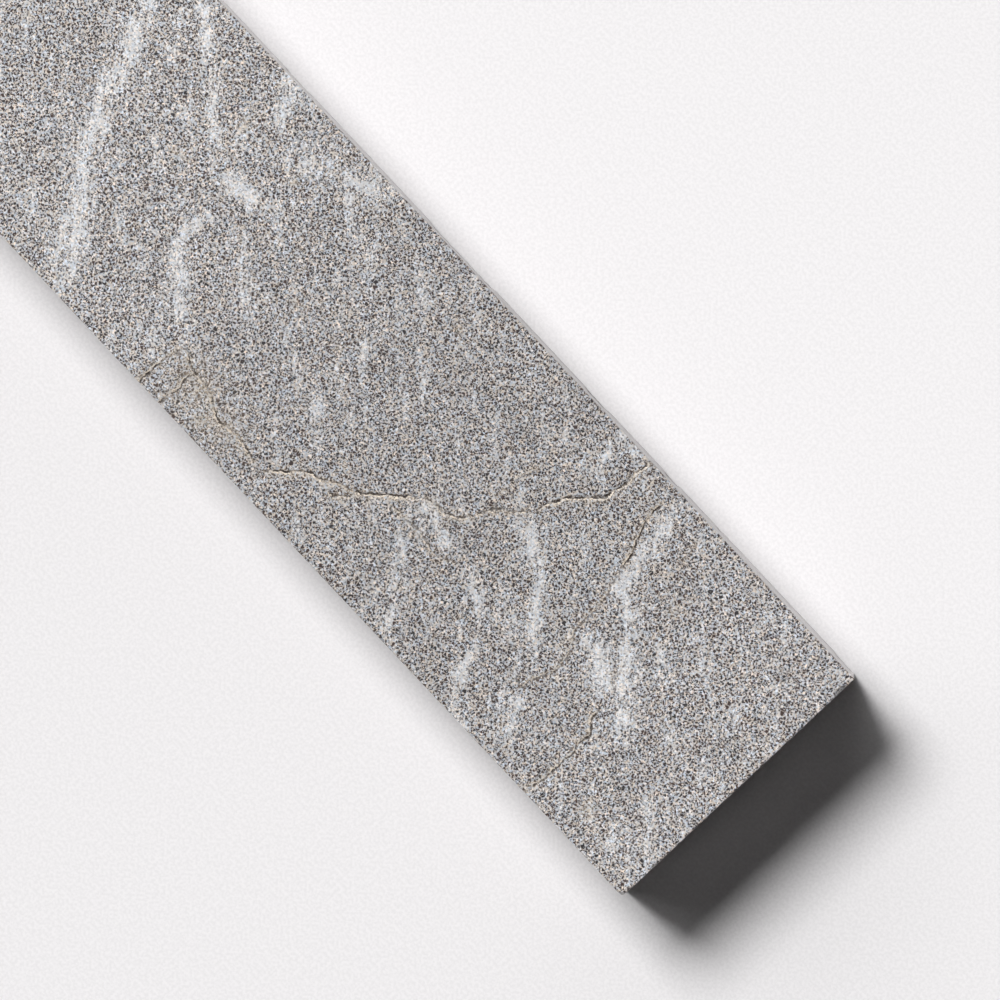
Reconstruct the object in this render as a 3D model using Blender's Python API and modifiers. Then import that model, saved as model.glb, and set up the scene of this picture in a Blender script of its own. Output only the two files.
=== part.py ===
"""A sharpening whetstone: one bar of natural stone, sawn on all six sides and rubbed smooth.

The bar lies along X, with the honing face up. The origin is the middle of the base, on the surface
that the stone lies on. The broken corner is at +X, -Y, on the honing face. Sizes are in metres.
"""

import bmesh
import bpy
from mathutils import Vector

# The bar
LENGTH = 0.200
WIDTH = 0.050            # across the base, which is the widest part
THICKNESS = 0.025
SIDE_LEAN = 0.0006       # how far the saw ran out of square: the +Y side leans in by this much at the top
ARRIS_WIDTH = 0.0004     # the worn rounding along every edge
ARRIS_SEGMENTS = 3

# The broken corner: how far the break reaches along the end, along the side and down the upright edge
BREAK_ALONG_END = 0.0017
BREAK_ALONG_SIDE = 0.0014
BREAK_DOWN = 0.0050
BREAK_TOOL_SIZE = 0.020  # side of the block that cuts the corner away, larger than the break

# The stone's plain finish
STONE_COLOUR = (0.355, 0.347, 0.345, 1.0)
STONE_ROUGHNESS = 0.7
STONE_METALLIC = 0.0


def clear_scene():
    """Takes everything out of the open file."""
    for obj in list(bpy.data.objects):
        bpy.data.objects.remove(obj, do_unlink=True)


def new_collection(name):
    """A collection of its own, linked to the scene."""
    collection = bpy.data.collections.new(name)
    bpy.context.scene.collection.children.link(collection)
    return collection


def stone_material():
    """The grey of the stone, as one plain Principled surface."""
    material = bpy.data.materials.new("natural_stone")
    material.use_nodes = True
    shader = material.node_tree.nodes["Principled BSDF"]
    shader.inputs["Base Color"].default_value = STONE_COLOUR
    shader.inputs["Roughness"].default_value = STONE_ROUGHNESS
    shader.inputs["Metallic"].default_value = STONE_METALLIC
    material.diffuse_color = STONE_COLOUR
    return material


def box_object(name, size, collection):
    """A box of the given size about its own origin, with no scale left on the object."""
    mesh = bpy.data.meshes.new(name)
    bm = bmesh.new()
    bmesh.ops.create_cube(bm, size=1.0)
    bmesh.ops.scale(bm, verts=bm.verts, vec=size)
    bm.to_mesh(mesh)
    bm.free()
    obj = bpy.data.objects.new(name, mesh)
    collection.objects.link(obj)
    return obj


def lean_side(obj):
    """Moves the top edge of the +Y side in, so that the side is a plane a little out of square."""
    for vertex in obj.data.vertices:
        if vertex.co.z > 0 and vertex.co.y > 0:
            vertex.co.y -= SIDE_LEAN


def break_tool(collection):
    """A block whose one face lies on the plane of the broken corner, with the block outside it."""
    corner = Vector((LENGTH / 2, -WIDTH / 2, THICKNESS))
    on_end = corner + Vector((0, BREAK_ALONG_END, 0))
    on_side = corner - Vector((BREAK_ALONG_SIDE, 0, 0))
    on_upright = corner - Vector((0, 0, BREAK_DOWN))
    outward = (on_side - on_end).cross(on_upright - on_end).normalized()
    if outward.dot(corner - on_end) < 0:
        outward.negate()
    tool = box_object("corner_break", (BREAK_TOOL_SIZE,) * 3, collection)
    middle = (on_end + on_side + on_upright) / 3
    tool.location = middle + outward * BREAK_TOOL_SIZE / 2
    tool.rotation_mode = "QUATERNION"
    tool.rotation_quaternion = outward.to_track_quat("Z", "Y")
    tool.hide_render = True
    tool.display_type = "WIRE"
    return tool


def whetstone(parts, cutters):
    """The bar: a box, one side out of square, worn along its edges, with one corner broken off."""
    stone = box_object("whetstone", (LENGTH, WIDTH, THICKNESS), parts)
    lean_side(stone)
    stone.location.z = THICKNESS / 2

    arris = stone.modifiers.new("worn_arris", "BEVEL")
    arris.width = ARRIS_WIDTH
    arris.segments = ARRIS_SEGMENTS
    arris.limit_method = "ANGLE"

    broken = stone.modifiers.new("broken_corner", "BOOLEAN")
    broken.operation = "DIFFERENCE"
    broken.solver = "EXACT"
    broken.object = break_tool(cutters)

    stone.data.materials.append(stone_material())
    return stone


def main():
    clear_scene()
    parts = new_collection("sharpening_whetstone")
    cutters = new_collection("cutters")
    whetstone(parts, cutters)


main()
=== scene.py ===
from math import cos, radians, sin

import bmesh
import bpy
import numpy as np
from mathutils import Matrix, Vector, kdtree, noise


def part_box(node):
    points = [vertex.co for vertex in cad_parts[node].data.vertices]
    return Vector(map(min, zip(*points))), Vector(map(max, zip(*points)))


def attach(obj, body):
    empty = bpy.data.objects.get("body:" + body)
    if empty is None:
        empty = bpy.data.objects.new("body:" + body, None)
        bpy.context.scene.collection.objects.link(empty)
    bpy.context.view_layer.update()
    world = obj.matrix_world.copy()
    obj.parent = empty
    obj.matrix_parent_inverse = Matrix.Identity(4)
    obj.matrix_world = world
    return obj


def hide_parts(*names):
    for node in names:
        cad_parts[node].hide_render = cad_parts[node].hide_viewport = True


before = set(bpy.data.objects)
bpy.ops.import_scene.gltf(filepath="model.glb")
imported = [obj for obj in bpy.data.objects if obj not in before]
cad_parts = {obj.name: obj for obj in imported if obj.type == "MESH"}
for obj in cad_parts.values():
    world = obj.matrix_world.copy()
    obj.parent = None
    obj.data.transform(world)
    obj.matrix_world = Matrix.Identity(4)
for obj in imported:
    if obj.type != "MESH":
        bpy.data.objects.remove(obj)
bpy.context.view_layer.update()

# The looks of a sharpening whetstone: one sawn bar of speckled grey natural stone.
#
# The bar's surface is a fine lattice, refined along the cracks and the chips, and carved in code:
# worn arrises, chips, a broken corner, grooves along the hairline cracks and the saw's wander. The
# mineral grain, the pale veins, the cracks' colour with a painted highlight on one side, the dust
# with painted light on the +Y side, the darker brown low on the sides and in the chips, and the saw
# lines are procedural shader nodes. Veins run right through the stone and cracks some way down, so
# both show on the sides too.
#
# Lengths are in millimetres until the mesh is finished. X runs along the bar, Y across it and Z up
# from the base, as in the CAD model.

MM = 0.001
NODE = "whetstone"
SLOT = "natural_stone"

LOW, HIGH = (np.array(corner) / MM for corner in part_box(NODE))
HALF_WIDTH = HIGH[1]
TOP = HIGH[2]

# ---------------------------------------------------------------- the lattice

RIM = np.array([0.0, 0.06, 0.14, 0.26, 0.5, 0.9])   # lattice lines beside every arris
STEP_FACE = 0.75         # lattice step along and across the large faces
STEP_HEIGHT = 1.15       # and up the sides
REFINE_REACH = (0.60, 0.35)   # how near a crack or chip an edge is cut in half, in each round

# ---------------------------------------------------------------- the carving

ARRIS = 0.20             # radius of the worn arris, on average
ARRIS_WEAR = 0.10        # and how far it varies
LEAN_FAR = 0.15          # how far the +Y side leans in at the far end
LEAN_NEAR = 0.45         # and at the end with the broken corner
SIDE_WAVE = 0.06         # depth of the saw's wander on the sides and ends
FACE_WAVE = 0.03         # unevenness of the rubbed honing face
CRACK_DEPTH = 0.13       # of the groove along a hairline crack
CRACK_WIDTH = 0.15       # how far from its middle the groove has mostly faded out
CRACK_SNAP = 0.10        # lattice points this near a crack are moved onto it
CRACK_GONE = 14.0        # depth at which a crack has died out
CRACK_SLANT = 0.30       # how far a crack shifts along X for each millimetre down
VEIN_SLANT = 0.42        # and a vein
CHIP_COUNT = 150         # small chips, besides the ones that stand out
OTHER_SIDES_DUST_AND_LIGHT = 0.38        # how dusty and pale the other sides are, next to the +Y side, whose full paleness is partly dust and partly painted light from the bright floor
SEED = 41

# The +Y side's foot is set back in a few places where the saw jumped: from X, to X, how deep.
SET_BACK = ((-30.3, -24.6, 0.12), (2.8, 17.0, 0.22), (38.6, 43.6, 0.20), (56.5, 59.8, 0.24),
            (68.7, 69.9, 0.14), (95.6, 100.0, 0.18))

# Chips that stand out, on the +X end's upper arris: where (Y), how long, how deep.
END_CHIPS = ((22.0, 2.6, 0.55), (-18.0, 2.2, 0.28), (-23.2, 0.7, 0.26), (-8.5, 0.6, 0.22),
             (-2.2, 0.8, 0.12), (9.5, 0.9, 0.14), (14.0, 0.7, 0.10))

# The broken corner: its reach along the end, along the side and down the upright edge
CORNER_ALONG_END = 1.1
CORNER_ALONG_SIDE = 0.7
CORNER_DOWN = 5.0
CORNER_ROUGH = 0.16

# ---------------------------------------------------------------- veins, cracks and stains

# The markings belong to this one stone, so they are places on the bar, read off its photograph,
# and not worked out from the frame. The ones at the end that the photograph leaves out are made up.
# A line that should run over an edge ends a little outside the bar.

# Pale veins: half their width, how strong they are, and the places they pass through (X, Y).
VEINS = (
    (0.9, 0.70, ((-51, 26), (-46, 23), (-42, 20), (-39, 16.6), (-34, 14), (-29.7, 10.3), (-26.7, 8.3))),
    (1.5, 0.75, ((-24.5, 8), (-21.7, 7), (-19, 7.3), (-16.3, 4.7))),
    (0.6, 0.55, ((-16.3, 4.7), (-11.7, -1.7), (-8.7, -4), (-4, -6.7))),
    (1.3, 0.80, ((-56, 27), (-51.8, 17.2), (-50.7, 12.9), (-47, 7.6), (-46.4, 1.8), (-43.8, -1.9),
                 (-40.6, -7.2), (-37.4, -11.5), (-33.2, -15.7), (-30, -20.5), (-27, -26))),
    (0.6, 0.55, ((-37.4, -14.7), (-32, -22), (-26, -26))),
    (0.9, 0.75, ((-31, 27), (-26, 23), (-24.3, 19.7), (-22.3, 17.7))),
    (1.3, 0.75, ((-17.3, 16), (-13.7, 20.3), (-11, 20), (-6.7, 23), (-4, 27))),
    (0.5, 0.60, ((-9, 19.3), (-6, 17.3))),
    (1.2, 0.80, ((-21.7, 3.7), (-21.7, -4.7), (-19, -8), (-16.3, -10.3), (-13.3, -12.7), (-11.7, -13.7))),
    (0.6, 0.60, ((-26.3, -9), (-24.7, -10.7))),
    (0.5, 0.50, ((-21.5, -13.6), (-13, -21))),
    (0.6, 0.55, ((-2, 19), (1, 14.3), (3.7, 12.3))),
    (0.7, 0.55, ((8, 7.3), (11.7, 2.3))),
    (0.6, 0.55, ((3.3, -4), (5.3, -6.7))),
    (0.6, 0.55, ((9, -4.7), (13, -8), (15, -10.7))),
    (0.6, 0.55, ((-5.3, -12.7), (-4.3, -15.3))),
    (1.0, 0.75, ((18.2, 20.7), (20, 20.3))),
    (0.6, 0.50, ((18.3, 15.3), (23.7, 15))),
    (0.6, 0.55, ((19.3, 9.3), (21, 6.7), (23, 4.3))),
    (0.6, 0.55, ((16, -4), (18.3, -6))),
    (1.0, 0.90, ((33.8, -5), (37.3, -6), (39.8, -6.6), (42, -7.8))),
    (0.6, 0.50, ((40, 22.3), (41.7, 18.7), (43, 15.3))),
    (0.7, 0.55, ((47.7, 26), (48.3, 18.7), (49, 16))),
    (0.6, 0.90, ((34.7, -11), (37, -13), (40.3, -16.7), (43.3, -21.3), (46, -26))),
    (1.1, 0.80, ((47, 5.7), (49, 3.3), (51, 2), (51.7, 0.3), (53, -2.3), (53.7, -3.7))),
    (0.6, 0.85, ((51.7, 2.7), (54.7, 0), (56.7, -2.3), (61, -7), (64, -10.3))),
    (0.7, 0.85, ((46.3, -6.3), (49.3, -8.7), (51.7, -10), (54, -11.7))),
    (0.5, 0.60, ((51.7, -14), (53.3, -16.3))),
    (0.8, 0.85, ((56, -13.7), (56, -16.3), (57.3, -19.3), (60.7, -22.7), (65, -26))),
    (0.7, 0.75, ((66, -14.7), (67.7, -18), (70.7, -21.7))),
    (1.1, 0.80, ((63.5, 27), (61.8, 21), (63, 18), (62.8, 14), (64.7, 10.7), (64.4, 8.2), (69, 6),
                 (72.3, 2), (75, -1), (79, -5.3), (81, -7.3), (83.7, -10))),
    (1.4, 0.85, ((65.3, -2.3), (70.3, -1.7), (74, -5), (75.7, -6.3))),
    (0.4, 0.60, ((74.7, 6), (76.3, 4.7), (80.7, 2))),
    (0.6, 0.50, ((90, 2.3), (93.3, 5.3))),
    (0.6, 0.50, ((83.7, -2.3), (86, -1.3), (88.3, -3.3))),
    (0.6, 0.65, ((90.7, -10.7), (92.3, -12.3), (95, -14.7), (99.3, -19), (102, -21))),
    (1.0, 0.70, ((-104, 22), (-95, 14), (-91, 5), (-86, -3), (-82, -9), (-79, -17), (-74, -27))),
    (1.4, 0.75, ((-81, 27), (-77, 17), (-73, 11), (-71, 2), (-67, -5), (-63, -9))),
    (0.6, 0.60, ((-66, 26), (-62, 17), (-60, 9))),
    (0.7, 0.60, ((-64, -14), (-60, -19), (-56, -27))),
    (0.6, 0.55, ((-103, -8), (-97, -14), (-91, -26))),
)

# Pale clouds: the middle (X, Y), the radius and how strong.
PALE_SPOTS = ((-22.7, -12.3, 0.9, 0.7), (-14.3, -20.7, 0.8, 0.6), (20.3, -8.7, 0.9, 0.5),
              (40.3, -2.0, 1.1, 0.6), (50.7, 24.3, 1.1, 0.9), (83.0, 8.3, 0.9, 0.6),
              (89.3, 17.0, 1.0, 0.5), (92.7, 14.8, 0.9, 0.5), (64.7, 10.7, 1.1, 0.9),
              (33.3, -5.0, 0.7, 0.7), (81.0, -11.7, 1.0, 0.6), (-88.0, 18.0, 1.0, 0.6))

# Darker brown in the broken corner and the larger chips, written the same way.
CHIP_BROWNING = ((99.9, -24.3, 0.45, 0.9), (99.9, -23.2, 0.40, 0.8), (99.9, -18.0, 0.9, 0.6),
        (99.9, 22.0, 1.1, 0.6), (99.9, -8.5, 0.35, 0.8), (-99.9, 15.0, 0.8, 0.5))
CHIP_BROWNING_DEPTH = 2.2         # how far below the honing face it reaches

# Beige stains, written the same way.
STAINS = ((-27.7, 14.7, 1.1, 0.7), (-15.7, 14.3, 1.0, 0.6), (-31.7, 4.0, 1.0, 0.6), (-2.0, 1.3, 0.9, 0.5),
          (7.7, 1.0, 0.9, 0.5), (1.3, -21.7, 1.6, 0.8), (18.2, 17.3, 0.9, 0.6), (72.7, 11.3, 0.9, 0.6),
          (86.5, -19.7, 1.3, 0.6), (-3.0, -19.0, 4.2, 0.45), (5.0, -20.0, 3.6, 0.40),
          (-84.0, -12.0, 1.3, 0.6))

# Hairline cracks: how dark they are, how much beige they have beside them, and the places (X, Y).
CRACKS = (
    (1.00, 1.00, ((13.0, -20.6), (16, -18), (18.3, -15.3), (21.7, -14.2), (23, -13), (26.3, -11.7),
                  (29.3, -8.8), (31.3, -7.3), (33.3, -5))),
    (0.80, 0.70, ((33.3, -5), (35.7, -4.3), (38.3, -4), (40.3, -2.3), (42.5, 2), (44.3, 3.7), (47.2, 6.3))),
    (1.00, 0.80, ((47.2, 6.3), (47.3, 8), (49, 11.7), (51.3, 14), (52.7, 15.7), (53.5, 20.3), (53.3, 22),
                  (54, 26))),
    (0.35, 0.30, ((43, 12.3), (41.7, 8.7), (41.5, 4.3), (41, 2.7))),
    (0.50, 0.35, ((30.3, -9.3), (33.3, -9.2), (38.3, -9.3), (41, -9.7), (45, -8))),
    (0.70, 0.60, ((22.7, -14.8), (23.9, -15.3), (25.7, -13))),
    (1.00, 0.70, ((-9, -16), (-9.3, -18), (-9.8, -21.3), (-9.6, -26))),
    (0.95, 0.85, ((-8.7, -16), (-5, -17.7), (-2, -17.7), (3.3, -20), (6.7, -19.3), (13.0, -20.6))),
    (0.85, 0.60, ((-5, -18), (-4.8, -21.3), (-5.4, -26))),
    (1.00, 0.55, ((59.7, 22.3), (59.8, 19.7), (60.3, 17), (62.5, 12), (62.7, 10))),
    (0.50, 0.30, ((62.7, 10), (63.7, 7.3), (64.7, 2), (64.5, 0), (65, -2.7), (66.3, -4))),
    (0.70, 0.40, ((66.3, -4), (67, -5.7), (67.3, -8), (67.2, -9.3), (65.8, -11.7), (65.7, -14))),
    (0.45, 0.25, ((61.7, -13.3), (65.7, -14))),
    (0.35, 0.20, ((68, 22), (68.3, 18.7), (68.2, 16.3))),
    (0.45, 0.25, ((74, 0.3), (74.3, -3), (75.7, -4))),
    (0.90, 0.55, ((76.2, -7.3), (76.5, -9.3), (78.2, -11.3), (78, -13.3), (78.5, -15.3), (78.3, -18),
                  (78.5, -20), (77.6, -26))),
    (0.60, 0.50, ((-88, -26), (-86, -18), (-83, -12), (-81, -5), (-80, -1))),
)
CRACK_WANDER = ((1.8, 0.30), (0.45, 0.27))    # the size of a crack's turns and how far they go
VEIN_WANDER = ((3.0, 0.55), (1.1, 0.30))      # and a vein's
VEIN_BREAKS = 5.0        # from one strong stretch of a vein to the next
LIP_WIDTH = 0.75         # the beige band beside a crack
FAR = 9.0                # further from every crack than matters


def ripple(points, size, seed):
    """Smooth random values, about -1 to 1, at each point, with waves of the given size."""
    shift = Vector((seed * 17.3, seed * 5.1, seed * 9.7))
    return np.array([noise.noise(Vector(p) / size + shift) for p in points])


# ---------------------------------------------------------------- building the lattice

def stations(low, high, step):
    """Where the lattice is cut along one axis: close together beside both arrises, even in between."""
    first = low + RIM[-1]
    last = high - RIM[-1]
    middle = np.linspace(first, last, round((last - first) / step) + 1)
    return np.concatenate([low + RIM[:-1], middle, high - RIM[-2::-1]])


def grid_quads(ids):
    """The quads of a two-way grid of point numbers, facing along first axis x second axis."""
    corners = (ids[:-1, :-1], ids[1:, :-1], ids[1:, 1:], ids[:-1, 1:])
    return np.stack([c.ravel() for c in corners], axis=1)


def lattice_box():
    """A closed box the size of the CAD node, as points and outward-facing quads."""
    xs = stations(LOW[0], HIGH[0], STEP_FACE)
    ys = stations(LOW[1], HIGH[1], STEP_FACE)
    zs = stations(LOW[2], HIGH[2], STEP_HEIGHT)
    ids = np.arange(len(xs) * len(ys) * len(zs)).reshape(len(xs), len(ys), len(zs))
    outward = (ids[:, :, -1], ids[:, :, 0].T, ids[-1, :, :], ids[0, :, :].T,
               ids[:, -1, :].T, ids[:, 0, :])
    quads = np.concatenate([grid_quads(side) for side in outward])
    used, numbers = np.unique(quads, return_inverse=True)
    i, j, k = np.unravel_index(used, ids.shape)
    points = np.stack([xs[i], ys[j], zs[k]], axis=1)
    return points, numbers.reshape(quads.shape)


def crack_samples():
    """Places about every 0.3 mm along the cracks, on the honing face and down the sides."""
    samples = []
    for _, _, line in CRACKS:
        for start, end in zip(line[:-1], line[1:]):
            count = max(2, round(np.hypot(end[0] - start[0], end[1] - start[1]) / 0.3))
            for share in np.linspace(0, 1, count):
                x, y = np.array(start) * (1 - share) + np.array(end) * share
                samples.append((x, y, TOP))
        x, y = line[-1] if abs(line[-1][1]) > HALF_WIDTH else line[0]
        if abs(y) > HALF_WIDTH:
            for depth in np.arange(0, CRACK_GONE, 0.3):
                samples.append((x + CRACK_SLANT * depth, np.sign(y) * HALF_WIDTH, TOP - depth))
    return samples


def refined_mesh(points, quads, places):
    """The lattice as a mesh, with edges near the given places cut in half, round after round."""
    mesh = bpy.data.meshes.new(NODE + "_stone")
    mesh.from_pydata(points, [], quads.tolist())
    bm = bmesh.new()
    bm.from_mesh(mesh)
    tree = kdtree.KDTree(len(places))
    for number, place in enumerate(places):
        tree.insert(place, number)
    tree.balance()
    for reach in REFINE_REACH:
        near = {v for v in bm.verts if tree.find(v.co)[2] < reach}
        edges = [e for e in bm.edges if e.verts[0] in near or e.verts[1] in near]
        bmesh.ops.subdivide_edges(bm, edges=edges, cuts=1, use_grid_fill=True, use_single_edge=True)
    bmesh.ops.triangulate(bm, faces=[f for f in bm.faces if len(f.verts) > 4])
    bm.to_mesh(mesh)
    bm.free()
    return mesh


# ---------------------------------------------------------------- lines through the stone

def through(points, slant, wander):
    """Each point's X and Y brought up to the honing face along the slant, and wandered by noise."""
    flat = points[:, :2].copy()
    flat[:, 0] -= slant * (TOP - points[:, 2])
    for number, (size, far) in enumerate(wander):
        flat[:, 0] += far * ripple(points, size, 3 + number)
        flat[:, 1] += far * ripple(points, size, 13 + number)
    return flat


def to_line(flat, line):
    """The offset of each point from the nearest place on a line, its side, and its share of the way."""
    line = np.array(line, float)
    lengths = np.hypot(*np.diff(line, axis=0).T)
    done = np.concatenate([[0.0], np.cumsum(lengths)]) / lengths.sum()
    best = np.full(len(flat), np.inf)
    offset = np.zeros((len(flat), 2))
    side = np.ones(len(flat))
    share = np.zeros(len(flat))
    for number, (start, end) in enumerate(zip(line[:-1], line[1:])):
        run = end - start
        along = np.clip((flat - start) @ run / (run @ run), 0, 1)
        away = flat - start - along[:, None] * run
        distance = np.hypot(*away.T)
        nearer = distance < best
        best[nearer] = distance[nearer]
        offset[nearer] = away[nearer]
        side[nearer] = np.sign(run[0] * away[nearer, 1] - run[1] * away[nearer, 0])
        share[nearer] = done[number] + along[nearer] * (done[number + 1] - done[number])
    return best, offset, side, share


def ends_faded(share, fade):
    """1 along the middle of a line, falling to 0.15 at both of its ends."""
    return 0.15 + 0.85 * np.clip(np.minimum(share, 1 - share) / fade, 0, 1)


def vein_strength(points):
    """How much vein there is at each point, 0 to 1."""
    flat = through(points, VEIN_SLANT, VEIN_WANDER)
    strength = np.zeros(len(points))
    for half_width, strong, line in VEINS:
        distance, _, _, share = to_line(flat, line)
        core = 0.7 * np.exp(-(distance / (0.8 * half_width + 0.12)) ** 2)
        halo = 0.3 * np.exp(-(distance / (2.0 * half_width + 0.4)) ** 2)
        band = strong * ends_faded(share, 0.12) * (core + halo)
        strength = np.maximum(strength, band)
    strength *= 0.9 + 0.8 * ripple(points, VEIN_BREAKS, 21)
    return np.maximum(strength, spot_strength(flat, PALE_SPOTS))


def spot_strength(flat, spots):
    """How much of a cloud or stain there is at each point, 0 to 1."""
    strength = np.zeros(len(flat))
    for x, y, radius, strong in spots:
        distance = np.hypot(flat[:, 0] - x, flat[:, 1] - y)
        strength = np.maximum(strength, strong * np.exp(-(distance / radius) ** 2))
    return strength


def crack_fields(points):
    """For each point: how far the nearest crack is, on which side, the way back to it, how dark it is,
    and the beige beside it."""
    flat = through(points, CRACK_SLANT, CRACK_WANDER)
    nearest = np.full(len(points), FAR)
    side_of = np.ones(len(points))
    back = np.zeros((len(points), 2))
    dark = np.zeros(len(points))
    lip = np.zeros(len(points))
    depth_left = np.clip(1 - (TOP - points[:, 2]) / CRACK_GONE, 0, 1)
    for darkness, beige, line in CRACKS:
        distance, offset, side, share = to_line(flat, line)
        fade = ends_faded(share, 0.08) * depth_left
        nearer = distance < nearest
        nearest[nearer] = distance[nearer]
        side_of[nearer] = -side[nearer]
        back[nearer] = -offset[nearer]
        dark[nearer] = (darkness * fade)[nearer]
        beside = np.where(side < 0, LIP_WIDTH, 0.35 * LIP_WIDTH)
        lip = np.maximum(lip, beige * fade * np.exp(-(distance / beside) ** 2))
    return nearest, side_of, back, dark, lip


# ---------------------------------------------------------------- carving

def round_arrises(points):
    """Rounds every arris by an uneven wear radius. Gives the new points and the way out of the stone."""
    wear = ARRIS + ARRIS_WEAR * (ripple(points, 0.9, 1) + ripple(points, 6.0, 2))
    radius = np.maximum(wear, 0.06)[:, None]
    inner = np.clip(points, LOW + radius, HIGH - radius)
    outward = points - inner
    outward /= np.linalg.norm(outward, axis=1)[:, None]
    return inner + radius * outward, outward


def snap_to_cracks(points, outward, nearest, back):
    """Moves lattice points that almost touch a crack onto it, so that the groove runs clean."""
    close = nearest < CRACK_SNAP
    move = np.zeros_like(points)
    move[close, :2] = back[close]
    move -= outward * np.sum(move * outward, axis=1)[:, None]
    nearest[close] = 0.0
    return points + move


def press_in(points, outward, nearest, dark):
    """Sinks the crack grooves, the saw's wander on the sides and the wear of the honing face."""
    up = outward[:, 2]
    wander = 0.5 + 0.5 * ripple(points * (0.3, 1.0, 1.0), 14.0, 5)
    saw = SIDE_WAVE * wander * (1 - np.abs(up))
    rubbed = FACE_WAVE * (0.5 + 0.5 * ripple(points, 16.0, 6)) * np.abs(up)
    groove = CRACK_DEPTH * dark * np.exp(-(nearest / CRACK_WIDTH) ** 2)
    return points - outward * (saw + rubbed + groove)[:, None]


def lean_side(points):
    """Leans the +Y side in towards the top, more towards the end with the broken corner."""
    along = (points[:, 0] - LOW[0]) / (HIGH[0] - LOW[0])
    lean = LEAN_FAR + (LEAN_NEAR - LEAN_FAR) * along
    height = points[:, 2] / TOP
    across = np.clip(points[:, 1] / HALF_WIDTH, 0, 1)
    points[:, 1] -= lean * height * across
    return points


def set_back_foot(points, outward):
    """Sets the foot of the +Y side back where the saw jumped, fading out halfway up the side."""
    facing = np.clip(outward[:, 1], 0, 1)
    low_down = np.clip(1.4 - points[:, 2] / (0.6 * TOP), 0, 1)
    ragged = points[:, 0] + 0.25 * ripple(points, 2.0, 7)
    for start, end, deep in SET_BACK:
        inside = np.clip((ragged - start) / 0.25, 0, 1) * np.clip((end - ragged) / 0.25, 0, 1)
        points[:, 1] -= deep * inside * facing * low_down
    return points


def chip(points, place, outward, length, depth):
    """Scoops out a shell-shaped chip: what lies inside a ball set outside the arris goes back to it."""
    radius = (length ** 2 / 4 + depth ** 2) / (2 * depth)
    middle = np.array(place) + np.array(outward) * (radius - depth)
    away = points - middle
    distance = np.linalg.norm(away, axis=1)
    inside = distance < radius
    points[inside] = middle + away[inside] * (radius / distance[inside])[:, None]
    return points


def all_chips(random):
    """Place, way out, length and depth of each chip: the ones that stand out, then the small ones."""
    slope = 0.5 ** 0.5
    chips = []
    for y, length, depth in END_CHIPS:
        chips.append(((HIGH[0], y, TOP), (slope, 0, slope), length, depth))
    for _ in range(CHIP_COUNT):
        length = random.uniform(0.5, 1.5)
        depth = length * random.uniform(0.10, 0.20)
        kind = random.choice(3, p=(0.72, 0.18, 0.10))
        signs = random.choice((-1, 1), 3)
        place = np.where(signs > 0, HIGH, LOW)
        place[kind] = random.uniform(LOW[kind] + 1, HIGH[kind] - 1)
        outward = signs * slope
        outward[kind] = 0
        chips.append((place, outward, length, depth))
    return chips


def break_corner(points):
    """Breaks the +X, -Y corner off along a slanting face, then roughens the face."""
    corner = np.array((HIGH[0], LOW[1], TOP))
    on_end = corner + (0, CORNER_ALONG_END, 0)
    on_side = corner - (CORNER_ALONG_SIDE, 0, 0)
    on_upright = corner - (0, 0, CORNER_DOWN)
    outward = np.cross(on_side - on_end, on_upright - on_end)
    outward *= np.sign(outward @ (corner - on_end)) / np.linalg.norm(outward)
    rough = CORNER_ROUGH * (0.5 + 0.5 * ripple(points, 0.7, 8))
    beyond = (points - on_end) @ outward + rough
    broken = beyond > 0
    points[broken] -= beyond[broken, None] * outward
    return points, broken


def set_attribute(mesh, name, values):
    """Keeps one number for each mesh point, for the material to read."""
    attribute = mesh.attributes.new(name, "FLOAT", "POINT")
    attribute.data.foreach_set("value", np.asarray(values, np.float32))


def stone_mesh():
    """The whole bar: lattice, cracks, worn arrises, chips and broken corner."""
    random = np.random.default_rng(SEED)
    chips = all_chips(random)
    places = crack_samples() + [tuple(place) for place, _, _, _ in chips]
    mesh = refined_mesh(*lattice_box(), places)

    count = len(mesh.vertices)
    points = np.empty(count * 3)
    mesh.vertices.foreach_get("co", points)
    points = points.reshape(count, 3)

    nearest, side_of, back, dark, lip = crack_fields(points)
    points, outward = round_arrises(points)
    points = snap_to_cracks(points, outward, nearest, back)
    vein = vein_strength(points)
    stain = spot_strength(through(points, VEIN_SLANT, VEIN_WANDER), STAINS)
    points = press_in(points, outward, nearest, dark)
    points = set_back_foot(points, outward)
    whole = points.copy()
    for place, way_out, length, depth in chips:
        points = chip(points, place, way_out, length, depth)
    points, broken = break_corner(points)
    fresh = np.clip(np.linalg.norm(points - whole, axis=1) / 0.12, 0, 1)
    points = lean_side(points)
    points = np.clip(points, LOW, HIGH)

    mesh.vertices.foreach_set("co", (points * MM).ravel())
    worn = np.clip(1.5 - 1.5 * np.max(np.abs(outward), axis=1), 0, 1)
    sawn = np.clip(1 - np.abs(outward[:, 2]) * 1.4, 0, 1)
    near_top = np.clip(1 - (TOP - points[:, 2]) / CHIP_BROWNING_DEPTH, 0, 1)
    set_attribute(mesh, "vein", vein)
    set_attribute(mesh, "stain", stain)
    set_attribute(mesh, "chip_browning", spot_strength(points, CHIP_BROWNING) * near_top)
    set_attribute(mesh, "crack_distance", np.minimum(nearest, FAR))
    set_attribute(mesh, "crack_offset", np.minimum(nearest, FAR) * side_of)
    set_attribute(mesh, "crack_darkness", dark)
    set_attribute(mesh, "crack_lip", lip)
    set_attribute(mesh, "sawn", sawn)
    # Sawn sides are dusty. The +Y side is made palest, and that is partly painted light from the bright
    # floor.
    set_attribute(mesh, "dust_and_painted_light", sawn * np.where(outward[:, 1] > 0.5, 1.0, OTHER_SIDES_DUST_AND_LIGHT))
    set_attribute(mesh, "fresh", np.maximum(fresh, broken))
    set_attribute(mesh, "worn", worn)
    mesh.shade_smooth()
    mesh.update()
    return mesh


# ---------------------------------------------------------------- shader nodes

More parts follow.
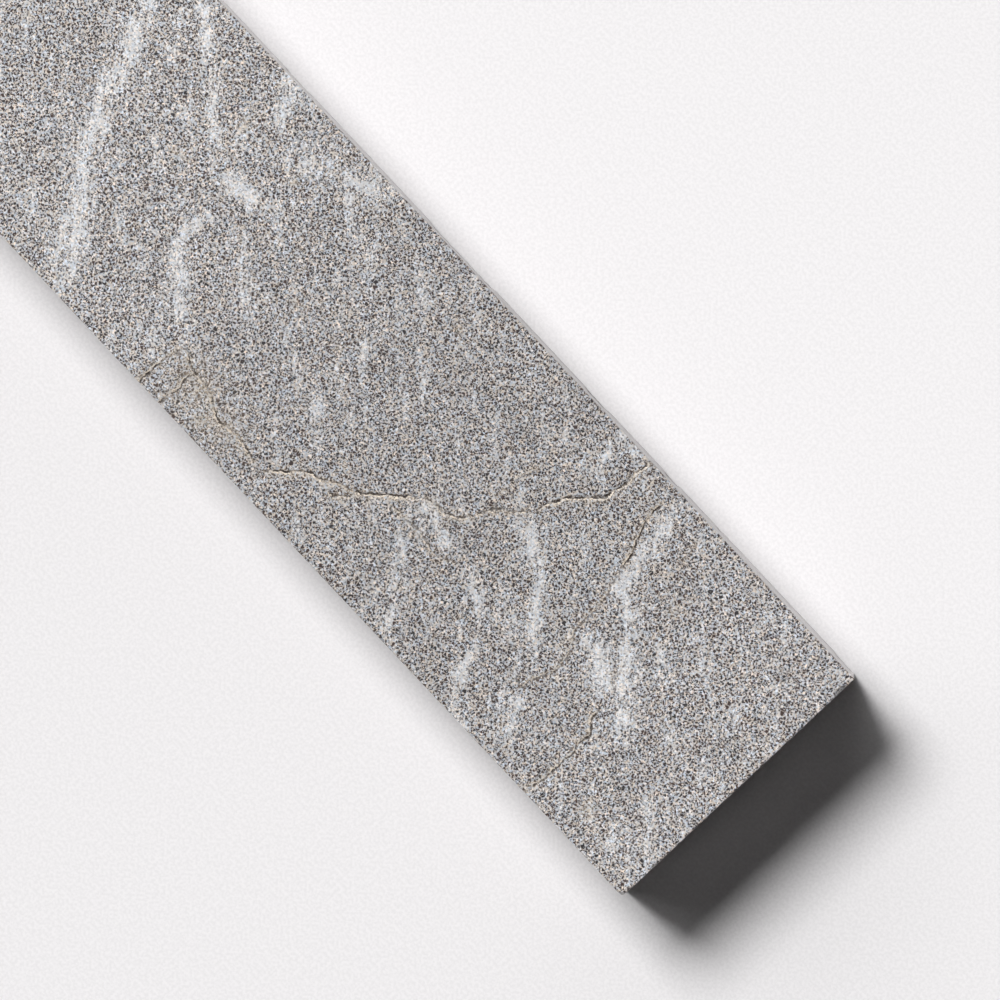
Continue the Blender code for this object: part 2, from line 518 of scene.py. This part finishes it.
class Shading:
    """Adds nodes to a material or world, each call giving back what the next one links to."""

    def __init__(self, tree):
        self.tree = tree

    def node(self, kind, settings=None, first=(), **links):
        """A new node: its settings, what its first inputs take in order, and its inputs by name."""
        node = self.tree.nodes.new("ShaderNode" + kind)
        for name, value in (settings or {}).items():
            setattr(node, name, value)
        for socket, value in zip(node.inputs, first):
            self.feed(socket, value)
        for name, value in links.items():
            self.feed(node.inputs[name], value)
        return node

    def feed(self, socket, value):
        """Links a socket, or sets its own value."""
        if isinstance(value, bpy.types.NodeSocket):
            self.tree.links.new(value, socket)
        else:
            socket.default_value = value

    def math(self, operation, a, b=0.0):
        return self.node("Math", {"operation": operation}, (a, b)).outputs[0]

    def vector(self, operation, a, b):
        return self.node("VectorMath", {"operation": operation}, (a, b)).outputs[0]

    def scaled(self, vector, scale):
        return self.node("VectorMath", {"operation": "SCALE"}, (vector,), Scale=scale).outputs[0]

    def mapped(self, value, low, high, to_low=0.0, to_high=1.0, smooth=True):
        kind = "SMOOTHSTEP" if smooth else "LINEAR"
        limits = (value, low, high, to_low, to_high)
        return self.node("MapRange", {"interpolation_type": kind}, limits).outputs[0]

    def noise(self, vector, scale, detail=2.0, rough=0.5, colour=False):
        node = self.node("TexNoise", None, Vector=vector, Scale=scale, Detail=detail, Roughness=rough)
        return node.outputs[1 if colour else 0]

    def cells(self, vector, scale, feature="F1"):
        return self.node("TexVoronoi", {"feature": feature}, Vector=vector, Scale=scale)

    def mixed(self, amount, a, b, blend="MIX"):
        """Blends two colours. Inputs 6 and 7 and output 2 are the node's colour sockets."""
        node = self.node("Mix", {"data_type": "RGBA", "blend_type": blend}, (amount,))
        self.feed(node.inputs[6], a)
        self.feed(node.inputs[7], b)
        return node.outputs[2]

    def ramp(self, value, stops):
        node = self.node("ValToRGB", None, (value,))
        points = node.color_ramp.elements
        while len(points) < len(stops):
            points.new(0.5)
        for point, (place, colour) in zip(points, stops):
            point.position = place
            point.color = (*colour, 1.0)
        return node.outputs[0]

    def grey(self, value):
        """The same value in all three channels."""
        return self.node("CombineColor", None, Red=value, Green=value, Blue=value).outputs[0]

    def attribute(self, name):
        return self.node("Attribute", {"attribute_name": name}).outputs["Fac"]


# ---------------------------------------------------------------- the stone's material

GRAIN_SIZE = 0.30        # across one pale mineral grain, in millimetres
SPECK_SPACING = 0.33     # between the turns of the dark grains' winding shapes
SPECK_LEVEL = 0.52       # dark grains are where the winding noise lies below this
SPECK_BLUR = 0.012       # how soft their edges are
SPECK_LENGTH = 0.61      # the longest that a dark grain gets
SPECK_GAP = 0.008        # half the pale gap from one to the next, as a share of that
VEIN_CLEARS = 0.13       # how far a full vein puts the noise above that level
CHARCOAL = (0.017, 0.014, 0.017, 1.0)
DARK_BROWN = (0.050, 0.027, 0.022, 1.0)
SOFT_GREY = (0.466, 0.464, 0.459)
LIGHT_GREY = (0.523, 0.521, 0.516)
QUARTZ = (0.780, 0.768, 0.760)
FOOT_HEIGHT = 9.0        # how far up the sides they turn darker and browner towards the bottom
FAR_TONE = 1.06          # the stone's lightness towards the far end,
MIDDLE_TONE = 0.905      # around the middle,
NEAR_TONE = 1.03         # and at the end with the broken corner
RIM_LIGHT = 0.22         # how pale the ground is at its furthest from a dark grain
PALE_RIM = (0.800, 0.795, 0.785, 1.0)
FAINT_STREAKS = 0.45     # how strong the faint streaks between the veins are
VEIN_RUN = 133.0         # the way most veins run, in degrees from +X towards +Y
WISP_STRETCH = (4.5, 1.0, 4.5)   # how long a vein's wisps are, next to their width
SAW_STRETCH = (0.02, 0.02, 1.0)  # draws the saw lines out level, along and across the bar
VEIN_TINT = (0.640, 0.655, 0.685, 1.0)
BEIGE = (0.520, 0.440, 0.340, 1.0)
# Cream staining beside a crack, also used as a painted highlight on its lit side.
CREAM_AND_HIGHLIGHT = (0.800, 0.700, 0.580, 1.0)
DEEP_BROWN = (0.026, 0.015, 0.010, 1.0)
# Pale dust on the sawn sides. On the +Y side it also stands for painted light from the bright floor.
DUST_AND_LIGHT_PALE = (0.880, 0.850, 0.850, 1.0)
WORN_BEIGE = (0.560, 0.475, 0.420, 1.0)
FOOT_BROWN = (0.270, 0.238, 0.225, 1.0)
WARM_TINT = (1.170, 1.000, 0.835, 1.0)
COOL_TINT = (0.860, 0.975, 1.145, 1.0)


def pale_ground(s, place, vein):
    """The pale grains of feldspar and quartz, some warmer and some cooler, lighter in the veins."""
    grain = s.cells(place, 1 / GRAIN_SIZE)
    pick = s.node("SeparateColor", None, Color=grain.outputs["Color"])
    shade = s.math("ADD", pick.outputs[0], s.math("MULTIPLY", vein, 0.30))
    colour = s.ramp(shade, ((0.35, SOFT_GREY), (0.75, LIGHT_GREY), (1.0, QUARTZ)))
    tint = s.mixed(pick.outputs[1], COOL_TINT, WARM_TINT)
    return s.mixed(1.0, colour, tint, "MULTIPLY")


def broad_shade(s, place):
    """The slow changes of tone over the bar: paler towards both ends, and a little cloudy."""
    along = s.node("SeparateXYZ", None, Vector=place).outputs[0]
    drift = s.math("ADD", s.mapped(along, -45.0, 30.0, FAR_TONE, MIDDLE_TONE),
                   s.mapped(along, 45.0, 95.0, 0.0, NEAR_TONE - MIDDLE_TONE))
    return s.math("MULTIPLY", drift, s.mapped(s.noise(place, 0.12, 3.0), 0.3, 0.7, 0.96, 1.04))


def dark_specks(s, place, vein):
    """How much of a dark mica grain there is, 0 to 1, how pale its surroundings are, and its colour."""
    winding = s.noise(place, 1 / SPECK_SPACING, 1.0, 0.6)
    level = s.math("ADD", winding, s.math("MULTIPLY", vein, VEIN_CLEARS))
    amount = s.mapped(level, SPECK_LEVEL - SPECK_BLUR, SPECK_LEVEL + SPECK_BLUR, 1.0, 0.0)
    gap = s.cells(place, 1 / SPECK_LENGTH, "DISTANCE_TO_EDGE").outputs["Distance"]
    amount = s.math("MULTIPLY", amount, s.mapped(gap, SPECK_GAP, SPECK_GAP + 0.08))
    pale = s.math("MULTIPLY", s.mapped(level, SPECK_LEVEL + 0.04, SPECK_LEVEL + 0.22), RIM_LIGHT)
    patch = s.node("SeparateColor", None, Color=s.cells(place, 1 / SPECK_LENGTH).outputs["Color"])
    return amount, pale, s.mixed(patch.outputs[2], CHARCOAL, DARK_BROWN)


def vein_amount(s, place):
    """The pale veins, torn into wisps that run the same way as they do."""
    vein = s.attribute("vein")
    turn = (0, 0, radians(VEIN_RUN))
    combed = s.node("Mapping", {"vector_type": "TEXTURE"}, Vector=place, Rotation=turn,
                    Scale=WISP_STRETCH).outputs[0]
    wisps = s.math("SUBTRACT", s.noise(combed, 1.7, 4.0, 0.65), 0.5)
    clouds = s.math("SUBTRACT", s.noise(place, 0.45, 2.0), 0.5)
    torn = s.math("ADD", s.math("MULTIPLY", wisps, 3.0), s.math("MULTIPLY", clouds, 1.0))
    amount = s.mapped(s.math("ADD", vein, torn), 0.05, 0.95)
    amount = s.math("MULTIPLY", amount, s.mapped(vein, 0.02, 0.25, 0.0, 0.88))
    faint = s.mapped(s.noise(combed, 0.62, 3.0, 0.6), 0.54, 0.70, 0.0, FAINT_STREAKS)
    return s.math("MAXIMUM", amount, faint)


def cracked(s, place, mottle, colour):
    """Draws the hairline cracks: a broken rust-brown line with a broken cream edge on one side, partly
    cream staining and partly a painted highlight on the groove's lit wall.
    """
    jitter = s.math("MULTIPLY", s.math("SUBTRACT", mottle, 0.5), 0.55)
    offset = s.math("ADD", s.attribute("crack_offset"), jitter)
    near = s.mapped(s.attribute("crack_distance"), 0.38, 0.54, 1.0, 0.0)
    gaps = s.mapped(s.noise(place, 1.1, 3.0), 0.40, 0.56, 0.25, 1.0)
    shown = s.math("MULTIPLY", s.math("MULTIPLY", near, gaps), s.attribute("crack_darkness"))
    # The cream edge on one side only: partly staining, partly a painted highlight where the groove's far
    # wall faces the light.
    edge = s.math("MULTIPLY", s.mapped(offset, 0.13, 0.19), s.mapped(offset, 0.32, 0.44, 1.0, 0.0))
    patchy = s.mapped(s.noise(place, 2.0, 2.0), 0.42, 0.56, 0.15, 1.0)
    colour = s.mixed(s.math("MULTIPLY", s.math("MULTIPLY", edge, shown), patchy), colour, CREAM_AND_HIGHLIGHT)
    line = s.mapped(s.math("ABSOLUTE", offset), 0.12, 0.22, 1.0, 0.0)
    return s.mixed(s.math("MULTIPLY", line, shown), colour, DEEP_BROWN)


def stained_worn_and_darkened(s, place, mottle, colour):
    """Adds the beige stains, the sides darker and browner towards the bottom, the worn arrises, the paler
    chips and the darker brown in the broken corner and larger chips.
    """
    spotty = s.mapped(mottle, 0.36, 0.60, 0.05, 0.75)
    colour = s.mixed(s.math("MULTIPLY", s.attribute("stain"), spotty), colour, BEIGE)
    beside_crack = s.math("MULTIPLY", s.attribute("crack_lip"), 0.85)
    colour = s.mixed(s.math("MULTIPLY", beside_crack, spotty), colour, BEIGE)

    # The sides turn darker and browner towards the bottom.
    height = s.node("SeparateXYZ", None, Vector=place).outputs[2]
    uneven = s.math("ADD", height, s.math("MULTIPLY", s.noise(place, 0.2, 2.0), 6.0))
    foot = s.math("MULTIPLY", s.mapped(uneven, 3.0, FOOT_HEIGHT, 0.55, 0.0), s.attribute("sawn"))
    foot = s.math("MULTIPLY", foot, s.mapped(mottle, 0.35, 0.65, 0.5, 1.0))
    colour = s.mixed(foot, colour, FOOT_BROWN)

    edge = s.math("MULTIPLY", s.attribute("worn"), s.mapped(mottle, 0.35, 0.60, 0.15, 0.75))
    colour = s.mixed(edge, colour, WORN_BEIGE)
    colour = s.mixed(s.math("MULTIPLY", s.attribute("fresh"), 0.25), colour, PALE_RIM)
    # Darker brown in the broken corner and the larger chips.
    chip_browning = s.math("MULTIPLY", s.attribute("chip_browning"), s.mapped(mottle, 0.40, 0.55))
    return s.mixed(chip_browning, colour, DEEP_BROWN)


def saw_lines(s, place):
    """Level lines left by the saw on the sides and ends, fine ones and broad ones, about 0 to 1."""
    stretched = s.vector("MULTIPLY", place, SAW_STRETCH)
    fine = s.noise(stretched, 2.2, 3.0, 0.6)
    broad = s.noise(stretched, 0.55, 1.0)
    return s.math("ADD", s.math("MULTIPLY", fine, 0.35), s.math("MULTIPLY", broad, 0.65))


def stone_material():
    """Natural stone: grain, veins, stains, cracks with a painted highlight beside them, dusty sawn sides
    with painted light on the +Y side, and worn arrises.
    """
    material = bpy.data.materials.new(SLOT)
    material.use_nodes = True
    s = Shading(material.node_tree)
    shader = material.node_tree.nodes["Principled BSDF"]

    place = s.scaled(s.node("TexCoord").outputs["Object"], 1 / MM)
    stir = s.vector("SUBTRACT", s.noise(place, 2.4, 1.0, colour=True), (0.5, 0.5, 0.5))
    stirred = s.vector("ADD", place, s.scaled(stir, 0.30))
    mottle = s.noise(place, 4.5, 2.0)
    sawn = s.attribute("sawn")
    dust_and_painted_light = s.attribute("dust_and_painted_light")
    lines = saw_lines(s, place)

    vein = vein_amount(s, place)
    ground = pale_ground(s, stirred, vein)
    speck, rim, speck_colour = dark_specks(s, place, vein)
    ground = s.mixed(rim, ground, PALE_RIM)
    # Paler sawn sides: dust, and on the +Y side also painted light from the bright floor.
    dust_and_light_amount = s.math("MULTIPLY", dust_and_painted_light, s.mapped(mottle, 0.3, 0.7, 0.80, 1.0))
    ground = s.mixed(dust_and_light_amount, ground, DUST_AND_LIGHT_PALE)
    speck = s.math("MULTIPLY", speck, s.mapped(dust_and_painted_light, 0, 1, 1.0, 0.15, smooth=False))
    colour = s.mixed(speck, ground, speck_colour)
    colour = s.mixed(s.math("MULTIPLY", vein, 0.42), colour, VEIN_TINT)
    colour = s.mixed(1.0, colour, s.grey(broad_shade(s, place)), "MULTIPLY")
    streaks = s.mapped(lines, 0.35, 0.65, 0.92, 1.06, smooth=False)
    colour = s.mixed(sawn, colour, s.mixed(1.0, colour, s.grey(streaks), "MULTIPLY"))
    colour = stained_worn_and_darkened(s, place, mottle, colour)
    colour = cracked(s, place, mottle, colour)
    s.feed(shader.inputs["Base Color"], colour)

    roughness = s.mapped(speck, 0, 1, 0.66, 0.46)
    roughness = s.math("ADD", roughness, s.math("MULTIPLY", sawn, 0.18))
    s.feed(shader.inputs["Roughness"], roughness)
    s.feed(shader.inputs["Normal"], stone_bump(s, speck, mottle, lines, sawn))
    shader.inputs["IOR"].default_value = 1.5
    return material


def stone_bump(s, speck, mottle, lines, sawn):
    """Grain-sized pits everywhere, and saw lines along the sides and ends."""
    grain = s.math("ADD", s.math("MULTIPLY", speck, -0.5), s.math("MULTIPLY", mottle, 0.7))
    height = s.math("ADD", grain, s.math("MULTIPLY", s.math("MULTIPLY", lines, sawn), 6.0))
    return s.node("Bump", None, Height=height, Strength=0.55, Distance=0.035 * MM).outputs[0]


# ---------------------------------------------------------------- the bar

def whetstone():
    """The finished piece, riding on the CAD body in place of the plain CAD node."""
    mesh = stone_mesh()
    mesh.materials.append(stone_material())
    stone = bpy.data.objects.new("sharpening_whetstone", mesh)
    bpy.context.scene.collection.objects.link(stone)
    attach(stone, "root")
    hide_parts(NODE)
    return stone


# ---------------------------------------------------------------- floor, light and camera

FLOOR_SIZE = 60.0        # metres across, so that its edge stays out of low views
FLOOR_WHITE = 0.80
FLOOR_MOTTLE = 0.033     # how far its white varies
FLOOR_PAINTED_SHADE = 0.024       # painted shade: how much darker the sheet is made on the -Y side
FLOOR_TINT = (1.012, 0.992, 1.001, 1.0)
# Each soft light: its azimuth from +X towards +Y, its elevation, how wide it looks from the stone,
# all in degrees, and the light that it lays on the floor, in watts a square metre.
LIGHTS = {
    "key": (176.5, 54.5, 21.5, 2.86),
    "near_glow": (150.0, 22.0, 40.0, 0.22),
    "far_glow": (194.0, 30.0, 45.0, 0.30),
    "fill": (275.0, 35.0, 40.0, 0.10),
}
HORIZON_COLOUR = (1.0, 0.984, 0.990, 1.0)
HORIZON_GLOW = 0.875     # the far floor's tone, below the horizon where a view's range ends
SKY_FILL = 0.0005
LENS = 400.0             # the lens and its sensor's width, in millimetres
SENSOR = 36.0
VIEW_WIDTH = 155.3       # of the honing face's plane, in millimetres
AIM_BACK = 58.0          # how far the view's middle is from the near end, along the bar
AIM_ACROSS = 3.4
BAR_TURN = 46.8          # how far the bar's +X points below the picture's right, in degrees
TILT = 1.17              # how far the camera leans towards the +Y side


def towards(azimuth, elevation):
    """The unit direction at an azimuth from +X towards +Y, and an elevation."""
    a = radians(azimuth)
    e = radians(elevation)
    return Vector((cos(a) * cos(e), sin(a) * cos(e), sin(e)))


def floor():
    """A large plain sheet under the stone, white with a very faint paper mottle and painted shade towards
    the -Y side.
    """
    bpy.ops.mesh.primitive_plane_add(size=FLOOR_SIZE, location=(0, 0, 0))
    sheet = bpy.context.object
    sheet.name = "floor"
    material = bpy.data.materials.new("floor_paper")
    material.use_nodes = True
    s = Shading(material.node_tree)
    place = s.scaled(s.node("TexCoord").outputs["Object"], 1 / MM)
    mottle = s.noise(place, 2.0, 2.0)
    tone = s.mapped(mottle, 0.3, 0.7, FLOOR_WHITE - FLOOR_MOTTLE, FLOOR_WHITE + FLOOR_MOTTLE)
    # Painted shade: the sheet darkens towards the -Y side.
    across = s.node("SeparateXYZ", None, Vector=place).outputs[1]
    tone = s.math("ADD", tone, s.mapped(across, -90.0, 60.0, -FLOOR_PAINTED_SHADE, 0.0))
    shader = material.node_tree.nodes["Principled BSDF"]
    s.feed(shader.inputs["Base Color"], s.mixed(1.0, s.grey(tone), FLOOR_TINT, "MULTIPLY"))
    shader.inputs["Roughness"].default_value = 0.9
    shader.inputs["Specular IOR Level"].default_value = 0.1
    sheet.data.materials.append(material)


def studio_lights():
    """Soft lamps so far away that the whole floor is lit alike."""
    for name, (azimuth, elevation, width, on_floor) in LIGHTS.items():
        light = bpy.data.lights.new(name, "SUN")
        light.energy = on_floor / sin(radians(elevation))
        light.angle = radians(width)
        lamp = bpy.data.objects.new(name, light)
        lamp.rotation_mode = "QUATERNION"
        lamp.rotation_quaternion = towards(azimuth, elevation).to_track_quat("Z", "Y")
        bpy.context.scene.collection.objects.link(lamp)


def surroundings():
    """A nearly black sky, with the floor's tone below the horizon for the low views."""
    world = bpy.data.worlds.new("studio")
    world.use_nodes = True
    bpy.context.scene.world = world
    s = Shading(world.node_tree)
    direction = s.node("TexCoord").outputs["Generated"]
    height = s.node("SeparateXYZ", None, Vector=direction).outputs[2]
    background = world.node_tree.nodes["Background"]
    background.inputs["Color"].default_value = HORIZON_COLOUR
    s.feed(background.inputs["Strength"], s.mapped(height, 0.0, 0.02, HORIZON_GLOW, SKY_FILL))


def camera():
    """A long lens almost straight above the stone, turned so that the bar runs down the diagonal."""
    turn = radians(BAR_TURN)
    right = Vector((cos(turn), sin(turn), 0))
    back = Vector((0, sin(radians(TILT)), cos(radians(TILT))))
    right = (right - right.dot(back) * back).normalized()
    up = back.cross(right)
    aim = Vector((HIGH[0] - AIM_BACK, AIM_ACROSS, TOP)) * MM
    distance = VIEW_WIDTH * MM * LENS / SENSOR
    data = bpy.data.cameras.new("camera")
    data.lens = LENS
    data.sensor_width = SENSOR
    data.clip_start = 0.05
    data.clip_end = 50.0
    viewer = bpy.data.objects.new("camera", data)
    turned = Matrix((right, up, back)).transposed().to_4x4()
    viewer.matrix_world = Matrix.Translation(aim + back * distance) @ turned
    bpy.context.scene.collection.objects.link(viewer)
    bpy.context.scene.camera = viewer


def colour_management():
    """Plain sRGB, so that tones come out as they are set."""
    bpy.context.scene.view_settings.view_transform = "Standard"
    bpy.context.scene.view_settings.look = "None"
    bpy.context.scene.view_settings.exposure = 0.0
    bpy.context.scene.view_settings.gamma = 1.0


whetstone()
floor()
studio_lights()
surroundings()
camera()
colour_management()
